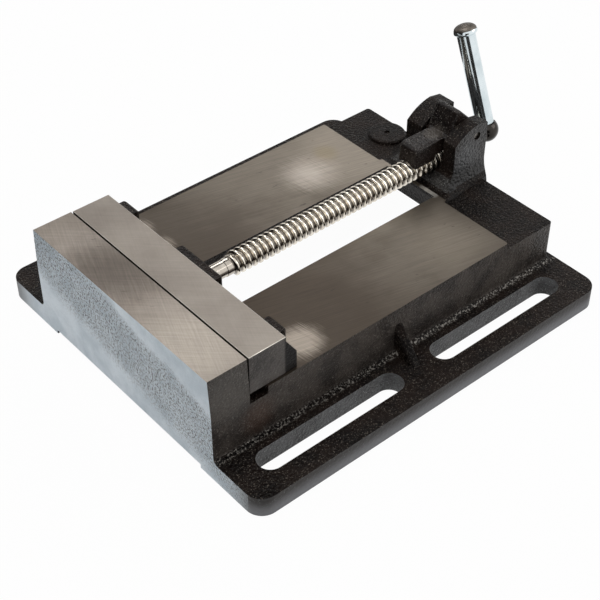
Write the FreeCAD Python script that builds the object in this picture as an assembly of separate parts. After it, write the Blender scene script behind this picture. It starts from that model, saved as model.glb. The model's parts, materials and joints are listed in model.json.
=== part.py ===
import FreeCAD, Part
import math
import os

# Drill press vise, millimetres. The origin is on the underside, at the centre of the
# four table slots. +X runs along the screw from the fixed jaw to the handle, +Z is up.

# Base plate and its table slots
base_length = 251.0
base_width = 226.0
far_edge_extra = 1.8
flange_thickness = 12.5
flange_corner_radius = 10.0
foot_width = 47.0
foot_relief = 2.5
slot_length = 97.0
slot_width = 15.0
slot_pitch_x = 121.5
slot_pitch_y = 186.0

# Body of the casting
body_width = 155.0
body_rear_inset = 5.0
way_height = 43.6
rail_thickness = 16.0
front_wall = 14.0
rear_wall = 10.0
gap_width = 39.6
cross_member_drop = 3.9
cross_member_length = 37.5
gap_end_inset = 0.7
end_lip = 2.0
end_undercut = 15.0
cove_radius = 3.5
body_corner_radius = 2.0
gusset_thickness = 6.0
gusset_reach = 15.5
gusset_height = 20.0
gusset_root = 2.0
gusset_round = 2.0
pad_radius = 11.5
pad_rise = 2.0
pad_offset = 48.0
pad_dimple_radius = 1.8
pad_dimple_depth = 1.2

# Jaws
jaw_width = 152.0
jaw_height = 24.4
fixed_jaw_thickness = 24.1
moving_jaw_thickness = 23.3
jaw_gap_at_rest = 1.2
relief_length = 11.6
relief_depth = 4.8
jaw_foot_reach = 6.9
jaw_foot_height = 11.2
rib_width = 20.0
lobe_width = 13.0
lobe_drop = 3.0
lobe_radius = 2.5
boss_width = 34.0
boss_reach = 7.4
boss_drop = 3.0
boss_radius = 2.0
open_gap_to_nut = 2.0

# Screw, right hand, and its nose in the moving jaw
screw_rise = 8.8
thread_radius = 7.0
thread_root_radius = 5.3
thread_pitch = 4.0
thread_crest = 1.0
thread_foot = 3.0
thread_chords = 10
collar_radius = 5.2
collar_length = 2.0
nose_radius = 4.9
nose_free_length = 12.5
nose_depth = 16.0
nose_chamfer = 1.0
groove_radius = 3.7
groove_length = 4.6
neck_radius = 5.8
neck_length = 12.4
ball_radius = 7.6
ball_gap_to_bracket = 13.3
spot_face_height = 4.0
lever_seat_depth = 4.0

# Lever, pressed into the ball of the screw and tilted as it was left
lever_radius = 5.6
lever_length = 62.7
cap_radius = 7.1
cap_rim = 2.5
cap_dome = 3.8
dome_chords = 4
lever_tilt = 22.6

# Nut bracket, half nut and pivot pin
bracket_foot_width = 54.0
bracket_slope_run = 13.8
bracket_front_rise = 8.4
bracket_toe_reach = 4.6
bracket_toe_rise = 3.0
bracket_nose_drop = 0.5
bracket_rise = 7.8
bracket_crown_dip = 2.6
bracket_heel_drop = 1.5
bracket_neck_rise = 8.0
bracket_shoulder_reach = 8.4
bracket_flare_reach = 2.4
bracket_flare_rise = 2.8
bracket_width = 37.0
bracket_rear_inset = 1.0
bracket_ledge = 2.6
cheek_gap = 18.0
pivot_from_bracket_rear = 8.0
pivot_pin_radius = 2.5
lug_reach = 38.0
lug_width = 14.0
lug_round = 3.5
nut_underside_rise = 4.6
nut_hump_rise = 14.4
nut_hump_front = 8.0
nut_hump_back = 4.0
nut_hump_slope = 5.5
nut_hump_round = 1.2
nut_shoulder_reach = 2.0
nut_tail_radius = 9.3
teeth_length = 16.0
tap_overrun = 2

# Keeper plate under the ways, with its screws and spring washers
keeper_length = 26.0
keeper_width = 64.0
keeper_thickness = 6.0
keeper_screw_pitch = 22.0
keeper_screw_radius = 3.0
keeper_screw_depth = 14.0
keeper_head_radius = 5.77
keeper_head_height = 4.0
washer_radius = 5.4
washer_thickness = 1.6
washer_split = 1.4
tongue_setback = 2.0
retaining_pin_radius = 2.0
retaining_pin_length = 33.0
retaining_pin_setback = 3.8

# Clearances
way_clearance = 0.15
guide_clearance = 0.3
nose_clearance = 0.1
nose_end_clearance = 0.3
thread_flank_clearance = 0.3
thread_crest_clearance = 0.4
nut_hub_clearance = 1.3
saddle_clearance = 0.35
nut_side_clearance = 0.3
nut_pivot_clearance = 0.08
pin_fit = 0.02
tapped_fit = 0.05
groove_clearance = 0.1
through_hole_clearance = 0.4

# How far a joining or cutting solid runs past the face that it meets
margin = 1.0

# Lengths that differ by less than this count as equal
equal = 0.01

# Stations along the screw
front = -base_length / 2
rear = base_length / 2
jaw_face = front + fixed_jaw_thickness
moving_face = jaw_face + jaw_gap_at_rest
moving_back = moving_face + moving_jaw_thickness
foot_back = moving_back + jaw_foot_reach
boss_back = moving_back + boss_reach
jaw_top = way_height + jaw_height
screw_height = way_height + screw_rise
body_rear = rear - body_rear_inset
way_end = body_rear - cross_member_length
cross_member_top = way_height - cross_member_drop
gap_end = way_end - gap_end_inset
bracket_front = gap_end + bracket_ledge
bracket_rear = rear - bracket_rear_inset
pivot_x = bracket_rear - pivot_from_bracket_rear
nut_hub_underside = screw_height + thread_radius + nut_hub_clearance
pivot_height = nut_hub_underside + nut_tail_radius
nut_underside = screw_height + nut_underside_rise
nut_hump_height = pivot_height + nut_hump_rise
lug_height = pivot_height
bracket_height = pivot_height + bracket_rise
bracket_nose_height = pivot_height - bracket_nose_drop
rail_underside = way_height - rail_thickness
pocket_half = base_width / 2 - foot_width
thread_start = boss_back + nose_free_length + collar_length
ball_x = bracket_rear + ball_gap_to_bracket + ball_radius
thread_turns = round((ball_x - neck_length - thread_start) / thread_pitch) - 1
thread_end = thread_start + (thread_turns + 1) * thread_pitch
keeper_start = moving_face + tongue_setback
keeper_top = rail_underside - guide_clearance
keeper_x = keeper_start + keeper_length / 2
pin_x = boss_back - retaining_pin_setback
pin_z = screw_height + groove_radius + groove_clearance + retaining_pin_radius
travel = pivot_x - lug_reach - boss_back - open_gap_to_nut


def vec(x, y, z):
    return FreeCAD.Vector(x, y, z)


X = vec(1, 0, 0)
Y = vec(0, 1, 0)
Z = vec(0, 0, 1)


def block(x0, x1, y0, y1, z0, z1):
    return Part.makeBox(x1 - x0, y1 - y0, z1 - z0, vec(x0, y0, z0))


def centred_block(x0, x1, width, z0, z1):
    return block(x0, x1, -width / 2, width / 2, z0, z1)


def rod(radius, start, direction, length):
    return Part.makeCylinder(radius, length, start, direction)


def outline(*edges):
    return Part.Face(Part.Wire(list(edges)))


def polygon(points):
    return Part.Face(Part.makePolygon(points + points[:1]))


def line(a, b):
    return Part.LineSegment(a, b).toShape()


def arc(a, through, b):
    return Part.Arc(a, through, b).toShape()


def slab_across(points, width):
    """A prism across the vise from (x, z) corners."""
    face = polygon([vec(x, -width / 2, z) for x, z in points])
    return face.extrude(Y * width)


def slab_along(points, x0, x1):
    """A prism along the vise from (y, z) corners."""
    face = polygon([vec(x0, y, z) for y, z in points])
    return face.extrude(X * (x1 - x0))


def rounded(shape, radius, chosen):
    """The shape with a fillet on each edge whose middle passes the test."""
    edges = [e for e in shape.Edges if chosen(e.BoundBox.Center, e)]
    return shape.makeFillet(radius, edges)


def near(a, b):
    return abs(a - b) < equal


def upright(edge):
    box = edge.BoundBox
    return box.ZLength > equal and box.XLength < equal and box.YLength < equal


def save(name, shape):
    shape.exportStep("parts/" + name + ".step")


def helical_rod(start, turns, crest_radius, root_radius, crest_width, foot_width):
    """A right-hand threaded rod along X, with flat facets between the chords of the helix."""
    stations = turns * thread_chords
    end = start + (turns + 1) * thread_pitch
    fade = thread_chords / 2

    def at(i, x, radius):
        angle = 2 * math.pi * (i % thread_chords) / thread_chords
        return vec(x, radius * math.cos(angle), screw_height + radius * math.sin(angle))

    def ridge(i):
        middle = start + thread_pitch * (0.5 + i / thread_chords)
        height = min(1.0, (i + 1) / fade, (stations - i + 1) / fade)
        top = root_radius + (crest_radius - root_radius) * height
        half_top = (foot_width + (crest_width - foot_width) * height) / 2
        return [
            at(i, middle - foot_width / 2, root_radius),
            at(i, middle - half_top, top),
            at(i, middle + half_top, top),
            at(i, middle + foot_width / 2, root_radius),
        ]

    ridges = [ridge(i) for i in range(stations + 1)]

    def before(i):
        return ridges[i][3] if i >= 0 else at(i, start, root_radius)

    def after(i):
        return ridges[i][0] if i <= stations else at(i, end, root_radius)

    faces = []
    for low, high in zip(ridges, ridges[1:]):
        for k in range(3):
            faces.append(polygon([low[k], high[k], high[k + 1]]))
            faces.append(polygon([low[k], high[k + 1], low[k + 1]]))
    faces.append(polygon(ridges[0]))
    faces.append(polygon(ridges[-1]))
    for i in range(-thread_chords, stations):
        j = i + thread_chords
        corners = [before(i)]
        if i == -1:
            corners += [at(0, start, root_radius), ridges[0][0], ridges[0][3]]
        else:
            corners += [before(i + 1)]
        corners += [after(j + 1)]
        if j == stations:
            corners += [at(j, end, root_radius), ridges[j][3], ridges[j][0]]
        else:
            corners += [after(j)]
        faces.append(polygon(corners))
    for x in (start, end):
        faces.append(polygon([at(i, x, root_radius) for i in range(thread_chords)]))
    return Part.Solid(Part.makeShell(faces))


def turned(stations):
    """A turned piece on the screw's axis, from (x, radius) corners."""
    points = [vec(x, 0, screw_height + r) for x, r in stations]
    ends = [vec(stations[-1][0], 0, screw_height), vec(stations[0][0], 0, screw_height)]
    return polygon(points + ends).revolve(vec(0, 0, screw_height), X, 360)


def flange_and_body():
    far_edge = base_width / 2 + far_edge_extra
    flange = block(front, rear, -base_width / 2, far_edge, 0, flange_thickness)
    flange = rounded(flange, flange_corner_radius, lambda c, e: upright(e))
    body = centred_block(front, body_rear, body_width, 0, way_height)
    body = body.cut(centred_block(way_end, rear, body_width, cross_member_top, way_height))
    body = rounded(body, body_corner_radius, lambda c, e: upright(e) and near(c.x, body_rear))
    casting = flange.fuse(body).removeSplitter()

    def body_foot(c, e):
        on_flange = near(c.z, flange_thickness) and abs(c.y) < body_width / 2 + margin
        return on_flange and front + margin < c.x < body_rear + margin

    return rounded(casting, cove_radius, body_foot)


def fixed_jaw():
    block_ends = [
        (-body_width / 2, rail_underside),
        (-body_width / 2, way_height),
        (-jaw_width / 2, jaw_top),
        (jaw_width / 2, jaw_top),
        (body_width / 2, way_height),
        (body_width / 2, rail_underside),
    ]
    return slab_along(block_ends, front, jaw_face)


def gusset(side):
    wall = side * body_width / 2
    top = flange_thickness + gusset_height
    corners = [
        (wall - side * gusset_root, flange_thickness - gusset_root),
        (wall - side * gusset_root, top),
        (wall, top),
        (wall + side * gusset_reach, flange_thickness),
        (wall + side * gusset_reach, flange_thickness - gusset_root),
    ]
    rib = slab_along(corners, -gusset_thickness / 2, gusset_thickness / 2)

    def sloping(c, e):
        return e.BoundBox.YLength > gusset_reach / 2 and c.z > flange_thickness

    return rounded(rib, gusset_round, sloping)


def casting_pad():
    x = body_rear - pad_radius
    base = vec(x, pad_offset, cross_member_top - margin)
    pad = rod(pad_radius, base, Z, pad_rise + margin)
    top = cross_member_top + pad_rise
    dimple = rod(pad_dimple_radius, vec(x, pad_offset, top - pad_dimple_depth), Z, pad_rise)
    return pad.cut(dimple)


def nut_bracket():
    """The two cheeks: their side outline, narrowed end on from a wide foot to the cheeks' width."""
    slope_top = bracket_front + bracket_slope_run
    foot = vec(bracket_front, 0, way_height)
    toe = vec(slope_top - bracket_toe_reach, 0, way_height + bracket_toe_rise)
    front_foot = vec(slope_top, 0, way_height + bracket_front_rise)
    nose = vec(slope_top, 0, bracket_nose_height)
    crown = vec(pivot_x, 0, bracket_height)
    shoulder = vec(slope_top + bracket_shoulder_reach, 0, bracket_height - bracket_crown_dip)
    heel = vec(bracket_rear, 0, bracket_height - bracket_heel_drop)
    side = outline(
        line(vec(bracket_front, 0, 0), foot),
        arc(foot, toe, front_foot),
        line(front_foot, nose),
        arc(nose, shoulder, crown),
        line(crown, heel),
        line(heel, vec(bracket_rear, 0, 0)),
        line(vec(bracket_rear, 0, 0), vec(bracket_front, 0, 0)),
    )
    side.translate(Y * (-bracket_foot_width / 2))
    cheeks = side.extrude(Y * bracket_foot_width)
    half_foot = bracket_foot_width / 2
    half_cheek = bracket_width / 2
    neck_height = way_height + bracket_neck_rise
    left = [
        vec(front, half_foot, 0),
        vec(front, half_foot, way_height),
        vec(front, half_cheek + bracket_flare_reach, way_height + bracket_flare_rise),
        vec(front, half_cheek, neck_height),
        vec(front, half_cheek, bracket_height + margin),
    ]
    right = [vec(p.x, -p.y, p.z) for p in left]
    end_on = outline(
        line(left[0], left[1]),
        arc(left[1], left[2], left[3]),
        line(left[3], left[4]),
        line(left[4], right[4]),
        line(right[4], right[3]),
        arc(right[3], right[2], right[1]),
        line(right[1], right[0]),
        line(right[0], left[0]),
    )
    bracket = cheeks.common(end_on.extrude(X * base_length))
    sill = centred_block(gap_end, bracket_front + margin, bracket_foot_width, rail_underside, way_height)
    return bracket.fuse(sill)


def nut_seat():
    """What the bracket leaves open: the channel for the half nut, the screw saddle and the pin hole."""
    channel = centred_block(gap_end - margin, rear, cheek_gap, screw_height, bracket_height + margin)
    saddle = rod(
        thread_radius + saddle_clearance, vec(gap_end - margin, 0, screw_height), X, base_length
    )
    pin_hole = rod(
        pivot_pin_radius + pin_fit,
        vec(pivot_x, -bracket_width, pivot_height),
        Y,
        2 * bracket_width,
    )
    return channel.fuse(saddle).fuse(pin_hole)


def table_slot(x, y):
    run = slot_length - slot_width
    slot = centred_block(x - run / 2, x + run / 2, slot_width, -margin, flange_thickness + margin)
    slot.translate(Y * y)
    for end in (-run / 2, run / 2):
        tip = rod(slot_width / 2, vec(x + end, y, -margin), Z, flange_thickness + 2 * margin)
        slot = slot.fuse(tip)
    return slot.removeSplitter()


def base_casting():
    casting = flange_and_body().fuse(fixed_jaw())
    for side in (-1, 1):
        casting = casting.fuse(gusset(side))
    casting = casting.fuse(casting_pad()).fuse(nut_bracket()).removeSplitter()
    pocket = centred_block(
        front + front_wall, body_rear - rear_wall, 2 * pocket_half, -margin, rail_underside
    )
    relief = centred_block(front - margin, rear + margin, 2 * pocket_half, -margin, foot_relief)
    gap = centred_block(jaw_face, gap_end, gap_width, rail_underside - margin, way_height + margin)
    undercut = slab_across(
        [
            (gap_end - margin, rail_underside - margin),
            (gap_end - margin, way_height - end_lip),
            (gap_end, way_height - end_lip),
            (gap_end + end_undercut, rail_underside - margin),
        ],
        gap_width,
    )
    notch_end = jaw_face + relief_length
    notch = centred_block(
        jaw_face, notch_end, base_width, way_height - relief_depth, way_height + margin
    )
    casting = casting.cut(pocket).cut(relief).cut(gap).cut(undercut).cut(notch).cut(nut_seat())
    for x in (-slot_pitch_x / 2, slot_pitch_x / 2):
        for y in (-slot_pitch_y / 2, slot_pitch_y / 2):
            casting = casting.cut(table_slot(x, y))
    return casting


def jaw_rib(side):
    """The rib at one end of the moving jaw, with the rounded lobe beside it."""
    foot_top = way_height + jaw_foot_height
    end = side * jaw_width / 2
    slope = [
        (moving_back - margin, foot_top - margin),
        (moving_back - margin, jaw_top - lobe_drop),
        (moving_back, jaw_top - lobe_drop),
        (foot_back, foot_top),
        (foot_back, foot_top - margin),
    ]
    rib = slab_across(slope, rib_width)
    rib.translate(Y * (end - side * rib_width / 2))
    middle = end - side * (rib_width - lobe_width / 2)
    lobe = block(
        moving_back - margin,
        foot_back,
        middle - lobe_width / 2,
        middle + lobe_width / 2,
        foot_top - margin,
        jaw_top - lobe_drop,
    )
    return rib.fuse(rounded(lobe, lobe_radius, lambda c, e: near(c.x, foot_back) and c.z > foot_top))


def moving_jaw():
    underside = way_height + way_clearance
    jaw = centred_block(moving_face, moving_back, jaw_width, underside, jaw_top)
    foot = centred_block(
        moving_back - margin, foot_back, jaw_width, underside, way_height + jaw_foot_height
    )
    boss = centred_block(moving_back - margin, boss_back, boss_width, underside, jaw_top - boss_drop)
    boss = rounded(boss, boss_radius, lambda c, e: near(c.x, boss_back) and c.z > screw_height)
    tongue = centred_block(
        keeper_start,
        keeper_start + keeper_length,
        gap_width - 2 * guide_clearance,
        keeper_top,
        underside + margin,
    )
    jaw = jaw.fuse(foot).fuse(boss).fuse(tongue)
    for side in (-1, 1):
        jaw = jaw.fuse(jaw_rib(side))
    jaw = jaw.removeSplitter()
    nose_hole = rod(
        nose_radius + nose_clearance,
        vec(boss_back - nose_depth, 0, screw_height),
        X,
        nose_depth + margin,
    )
    pin_hole = rod(
        retaining_pin_radius + pin_fit, vec(pin_x, -boss_width, pin_z), Y, 2 * boss_width
    )
    jaw = jaw.cut(nose_hole).cut(pin_hole)
    for y in (-keeper_screw_pitch / 2, keeper_screw_pitch / 2):
        start = vec(keeper_x, y, keeper_top - margin)
        hole = rod(keeper_screw_radius + tapped_fit, start, Z, keeper_screw_depth + 2 * margin)
        jaw = jaw.cut(hole)
    return jaw


def retaining_pin():
    start = vec(pin_x, -retaining_pin_length / 2, pin_z)
    return rod(retaining_pin_radius, start, Y, retaining_pin_length)


def keeper_plate():
    bottom = keeper_top - keeper_thickness
    plate = centred_block(keeper_start, keeper_start + keeper_length, keeper_width, bottom, keeper_top)
    for y in (-keeper_screw_pitch / 2, keeper_screw_pitch / 2):
        start = vec(keeper_x, y, bottom - margin)
        hole = rod(keeper_screw_radius + through_hole_clearance, start, Z, keeper_thickness + 2 * margin)
        plate = plate.cut(hole)
    return plate


def keeper_washer(y):
    top = keeper_top - keeper_thickness
    start = vec(keeper_x, y, top - washer_thickness)
    ring = rod(washer_radius, start, Z, washer_thickness)
    ring = ring.cut(rod(keeper_screw_radius + through_hole_clearance, start, Z, washer_thickness))
    split = block(
        keeper_x,
        keeper_x + 2 * washer_radius,
        y - washer_split / 2,
        y + washer_split / 2,
        top - washer_thickness,
        top,
    )
    return ring.cut(split)


def keeper_screw(y):
    head_top = keeper_top - keeper_thickness - washer_thickness
    corners = [math.radians(60 * k) for k in range(6)]
    hexagon = polygon(
        [
            vec(
                keeper_x + keeper_head_radius * math.cos(a),
                y + keeper_head_radius * math.sin(a),
                head_top - keeper_head_height,
            )
            for a in corners
        ]
    )
    head = hexagon.extrude(Z * keeper_head_height)
    shank_length = washer_thickness + keeper_thickness + keeper_screw_depth
    shank = rod(keeper_screw_radius, vec(keeper_x, y, head_top), Z, shank_length)
    return head.fuse(shank)


def lever_direction():
    tilt = math.radians(lever_tilt)
    return vec(0, math.sin(tilt), math.cos(tilt))


def ball_centre():
    return vec(ball_x, 0, screw_height)


def lead_screw():
    thread = helical_rod(
        thread_start,
        thread_turns,
        thread_radius,
        thread_root_radius,
        thread_crest,
        thread_foot,
    )
    nose_start = boss_back - nose_depth + nose_end_clearance
    collar_start = thread_start - collar_length
    groove_start = pin_x - groove_length / 2
    groove_end = pin_x + groove_length / 2
    nose = turned(
        [
            (nose_start, nose_radius - nose_chamfer),
            (nose_start + nose_chamfer, nose_radius),
            (groove_start, nose_radius),
            (groove_start, groove_radius),
            (groove_end, groove_radius),
            (groove_end, nose_radius),
            (collar_start, nose_radius),
            (collar_start, collar_radius),
            (thread_start, collar_radius),
        ]
    )
    along = lever_direction()
    neck = rod(neck_radius, vec(thread_end, 0, screw_height), X, ball_x - thread_end)
    ball = Part.makeSphere(ball_radius, ball_centre())
    spot_face = rod(ball_radius, ball_centre() + along * spot_face_height, along, ball_radius)
    socket = rod(lever_radius + pin_fit, ball_centre() - along * lever_seat_depth, along, 2 * ball_radius)
    head = neck.fuse(ball).cut(spot_face).cut(socket)
    return thread.fuse(nose).fuse(head)


def handle_lever():
    """The lever, domed at its upper end and pressed into the ball of the screw."""
    foot = -lever_seat_depth
    rim = lever_length - cap_rim
    top = lever_length + cap_dome
    dome_radius = (cap_radius**2 + cap_dome**2) / (2 * cap_dome)
    rim_angle = math.asin(cap_radius / dome_radius)
    dome = []
    for step in range(dome_chords + 1):
        angle = rim_angle * (1 - step / dome_chords)
        height = top - dome_radius * (1 - math.cos(angle))
        dome.append(vec(dome_radius * math.sin(angle), 0, height))
    corners = [vec(0, 0, foot), vec(lever_radius, 0, foot), vec(lever_radius, 0, rim)]
    corners += [vec(cap_radius, 0, rim)] + dome
    lever = polygon(corners).revolve(vec(0, 0, 0), Z, 360)
    lever.rotate(vec(0, 0, 0), X, -lever_tilt)
    lever.translate(ball_centre())
    return lever


def half_nut():
    """Rocks on the pivot pin; the teeth under its front lug rest in the screw thread."""
    lug_front = pivot_x - lug_reach
    teeth_end = lug_front + teeth_length
    hump_front = pivot_x - nut_hump_front
    hump_foot = hump_front - nut_hump_slope
    hump_back = pivot_x - nut_hump_back
    hump_edge = nut_hump_height - nut_hump_round
    tail = pivot_x + nut_tail_radius
    slant = nut_tail_radius * math.sqrt(0.5)
    lug_bulge = lug_round * (1 - math.sqrt(0.5))
    side = outline(
        line(vec(teeth_end, 0, nut_underside), vec(lug_front, 0, nut_underside)),
        line(vec(lug_front, 0, nut_underside), vec(lug_front, 0, lug_height - lug_round)),
        arc(
            vec(lug_front, 0, lug_height - lug_round),
            vec(lug_front + lug_bulge, 0, lug_height - lug_bulge),
            vec(lug_front + lug_round, 0, lug_height),
        ),
        line(vec(lug_front + lug_round, 0, lug_height), vec(hump_foot, 0, lug_height)),
        line(vec(hump_foot, 0, lug_height), vec(hump_front, 0, hump_edge)),
        arc(
            vec(hump_front, 0, hump_edge),
            vec((hump_front + hump_back) / 2, 0, nut_hump_height),
            vec(hump_back, 0, hump_edge),
        ),
        line(vec(hump_back, 0, hump_edge), vec(tail, 0, pivot_height)),
        arc(
            vec(tail, 0, pivot_height),
            vec(pivot_x + slant, 0, pivot_height - slant),
            vec(pivot_x, 0, nut_hub_underside),
        ),
        line(vec(pivot_x, 0, nut_hub_underside), vec(teeth_end, 0, nut_hub_underside)),
        line(vec(teeth_end, 0, nut_hub_underside), vec(teeth_end, 0, nut_underside)),
    )
    width = cheek_gap - 2 * nut_side_clearance
    side.translate(Y * (-width / 2))
    nut = side.extrude(Y * width)
    shoulder = (width - lug_width) / 2
    for edge in (-width / 2, width / 2 - shoulder):
        nut = nut.cut(
            block(
                lug_front - margin,
                hump_foot - nut_shoulder_reach,
                edge,
                edge + shoulder,
                0,
                nut_hump_height,
            )
        )
    pivot_hole = rod(
        pivot_pin_radius + nut_pivot_clearance, vec(pivot_x, -width, pivot_height), Y, 2 * width
    )
    turns_ahead = math.floor((lug_front - thread_start) / thread_pitch) - tap_overrun
    tap = helical_rod(
        thread_start + turns_ahead * thread_pitch,
        math.ceil(teeth_length / thread_pitch) + 2 * tap_overrun,
        thread_radius + thread_crest_clearance,
        thread_root_radius + thread_crest_clearance,
        thread_crest + 2 * thread_flank_clearance,
        thread_foot + 2 * thread_flank_clearance,
    )
    return nut.cut(pivot_hole).cut(tap)


def nut_pivot_pin():
    start = vec(pivot_x, -bracket_width / 2, pivot_height)
    return rod(pivot_pin_radius, start, Y, bracket_width)


os.makedirs("parts", exist_ok=True)
save("base_casting", base_casting())
save("moving_jaw", moving_jaw())
save("retaining_pin", retaining_pin())
save("keeper_plate", keeper_plate())
for number, y in enumerate((-keeper_screw_pitch / 2, keeper_screw_pitch / 2), 1):
    save("keeper_washer_" + str(number), keeper_washer(y))
    save("keeper_screw_" + str(number), keeper_screw(y))
save("lead_screw", lead_screw())
save("handle_lever", handle_lever())
save("half_nut", half_nut())
save("nut_pivot_pin", nut_pivot_pin())
print("travel of the moving jaw", round(travel, 3))
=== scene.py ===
import json
import math

import bmesh
import bpy
from mathutils import Matrix, Vector

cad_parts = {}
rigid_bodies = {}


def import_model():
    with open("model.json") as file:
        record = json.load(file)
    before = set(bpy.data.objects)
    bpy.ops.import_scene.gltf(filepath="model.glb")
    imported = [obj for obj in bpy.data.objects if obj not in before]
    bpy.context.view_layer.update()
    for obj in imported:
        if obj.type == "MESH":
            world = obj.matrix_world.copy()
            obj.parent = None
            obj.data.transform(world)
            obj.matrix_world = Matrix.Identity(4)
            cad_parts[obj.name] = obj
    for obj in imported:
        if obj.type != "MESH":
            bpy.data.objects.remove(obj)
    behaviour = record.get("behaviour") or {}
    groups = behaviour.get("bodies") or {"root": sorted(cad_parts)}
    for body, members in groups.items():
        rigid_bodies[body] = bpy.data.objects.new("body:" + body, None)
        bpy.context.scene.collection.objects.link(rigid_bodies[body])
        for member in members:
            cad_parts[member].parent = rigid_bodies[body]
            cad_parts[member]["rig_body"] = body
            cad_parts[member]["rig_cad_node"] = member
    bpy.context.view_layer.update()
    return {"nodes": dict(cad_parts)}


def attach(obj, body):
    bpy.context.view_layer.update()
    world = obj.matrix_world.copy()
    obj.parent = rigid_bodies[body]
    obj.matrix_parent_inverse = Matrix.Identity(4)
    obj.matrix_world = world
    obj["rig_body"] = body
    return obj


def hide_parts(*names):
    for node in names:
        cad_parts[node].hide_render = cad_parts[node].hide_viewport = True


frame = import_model()
bpy.ops.object.select_all(action="DESELECT")


# ---------------------------------------------------------------------------
# Base casting: grey iron, sand cast in one piece and sprayed black. Its ways and the top of
# the fixed jaw are ground bright afterwards, and its cast edges stay soft under the paint.
MM = 0.001
front = -125.5 * MM
flange_top = 12.5 * MM
wall_side = 77.5 * MM
foot_side = 113.0 * MM
far_foot_side = 114.8 * MM
way_height = 43.6 * MM
jaw_top = 68.0 * MM
jaw_face = -101.4 * MM
notch_end = -89.8 * MM
body_rear = 120.5 * MM
way_end = 83.0 * MM
cross_member_top = 39.7 * MM
bracket_front = 84.9 * MM
pad_middle = Vector((109.0 * MM, 48.0 * MM, 41.7 * MM))
pad_radius = 11.5 * MM
corner_start_x = 115.0 * MM
corner_start_y = 102.0 * MM
corner_line = 76.8 * MM
slot_line = 93.0 * MM
slot_rim_half = 8.0 * MM
slot_wall_half = 7.6 * MM
throat_half = 8.8 * MM
crest_start = 64.0 * MM
crest_height = 79.0 * MM
member_corner = 118.0 * MM
toe_end = 96.0 * MM
rim_depth = 1.5 * MM


def near(a, b, reach=0.1 * MM):
    return abs(a - b) < reach


def merged_copy(node, name):
    """A copy of a CAD node to work on: corners merged, flat faces made whole."""
    piece = frame["nodes"][node].copy()
    piece.data = piece.data.copy()
    piece.name = name
    piece.parent = None
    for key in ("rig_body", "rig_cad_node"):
        del piece[key]
    bpy.context.scene.collection.objects.link(piece)
    bpy.ops.object.select_all(action="DESELECT")
    bpy.context.view_layer.objects.active = piece
    piece.select_set(True)
    bpy.ops.object.mode_set(mode="EDIT")
    bpy.ops.mesh.select_all(action="SELECT")
    bpy.ops.mesh.remove_doubles(threshold=0.01 * MM)
    bpy.ops.mesh.dissolve_limited(angle_limit=math.radians(1))
    bpy.ops.object.mode_set(mode="OBJECT")
    return piece


def bevel_where(piece, width, segments, wanted, crease=25):
    """Rounds the sharp edges whose middle passes the test."""
    bpy.ops.object.select_all(action="DESELECT")
    bpy.context.view_layer.objects.active = piece
    piece.select_set(True)
    bpy.ops.object.mode_set(mode="EDIT")
    bpy.ops.mesh.select_mode(type="EDGE")
    bpy.ops.mesh.select_all(action="DESELECT")
    mesh = bmesh.from_edit_mesh(piece.data)
    for edge in mesh.edges:
        if len(edge.link_faces) == 2 and edge.calc_face_angle() > math.radians(crease):
            a, b = (v.co for v in edge.verts)
            if wanted((a + b) / 2, (b - a)):
                edge.select = True
    bmesh.update_edit_mesh(piece.data)
    bpy.ops.mesh.bevel(offset=width, segments=segments, clamp_overlap=True)
    bpy.ops.object.mode_set(mode="OBJECT")


def smooth_flats(piece, angle=40):
    """Smooth shading in which the large flat faces stay flat."""
    bpy.ops.object.select_all(action="DESELECT")
    bpy.context.view_layer.objects.active = piece
    piece.select_set(True)
    bpy.ops.object.shade_smooth_by_angle(angle=math.radians(angle))
    weighted = piece.modifiers.new("flat faces", "WEIGHTED_NORMAL")
    weighted.keep_sharp = True
    bpy.ops.object.modifier_apply(modifier=weighted.name)


def upright(run):
    return abs(run.z) > 0.9 * run.length


base = merged_copy("base_casting", "base_casting_finished")


def flange_rim(middle, run):
    at_side = near(middle.y, -foot_side) or near(middle.y, far_foot_side)
    at_end = near(abs(middle.x), -front)
    at_corner = abs(middle.x) > corner_start_x and abs(middle.y) > corner_start_y
    outside = not abs(middle.y) < wall_side - MM
    return near(middle.z, flange_top) and (at_side or at_end or at_corner) and outside


def front_corner(middle, run):
    beside = near(abs(middle.y), corner_line, MM)
    return near(middle.x, front) and upright(run) and beside and middle.z > flange_top


def slot_rim(middle, run):
    in_slot = abs(abs(middle.y) - slot_line) < slot_rim_half
    return near(middle.z, flange_top) and in_slot


def bracket_edge(middle, run):
    on_bracket = middle.x > bracket_front - MM and way_height + 0.2 * MM < middle.z < crest_height
    return on_bracket and abs(middle.y) > throat_half


def far_crest(middle, run):
    return near(middle.y, far_cheek) and middle.z > crest_start and middle.x > bracket_front


def member_edge(middle, run):
    on_top = near(middle.z, cross_member_top) and middle.x > way_end + MM
    at_side = near(abs(middle.y), wall_side) or middle.x > member_corner
    return on_top and (near(middle.x, body_rear) or at_side)


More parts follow.
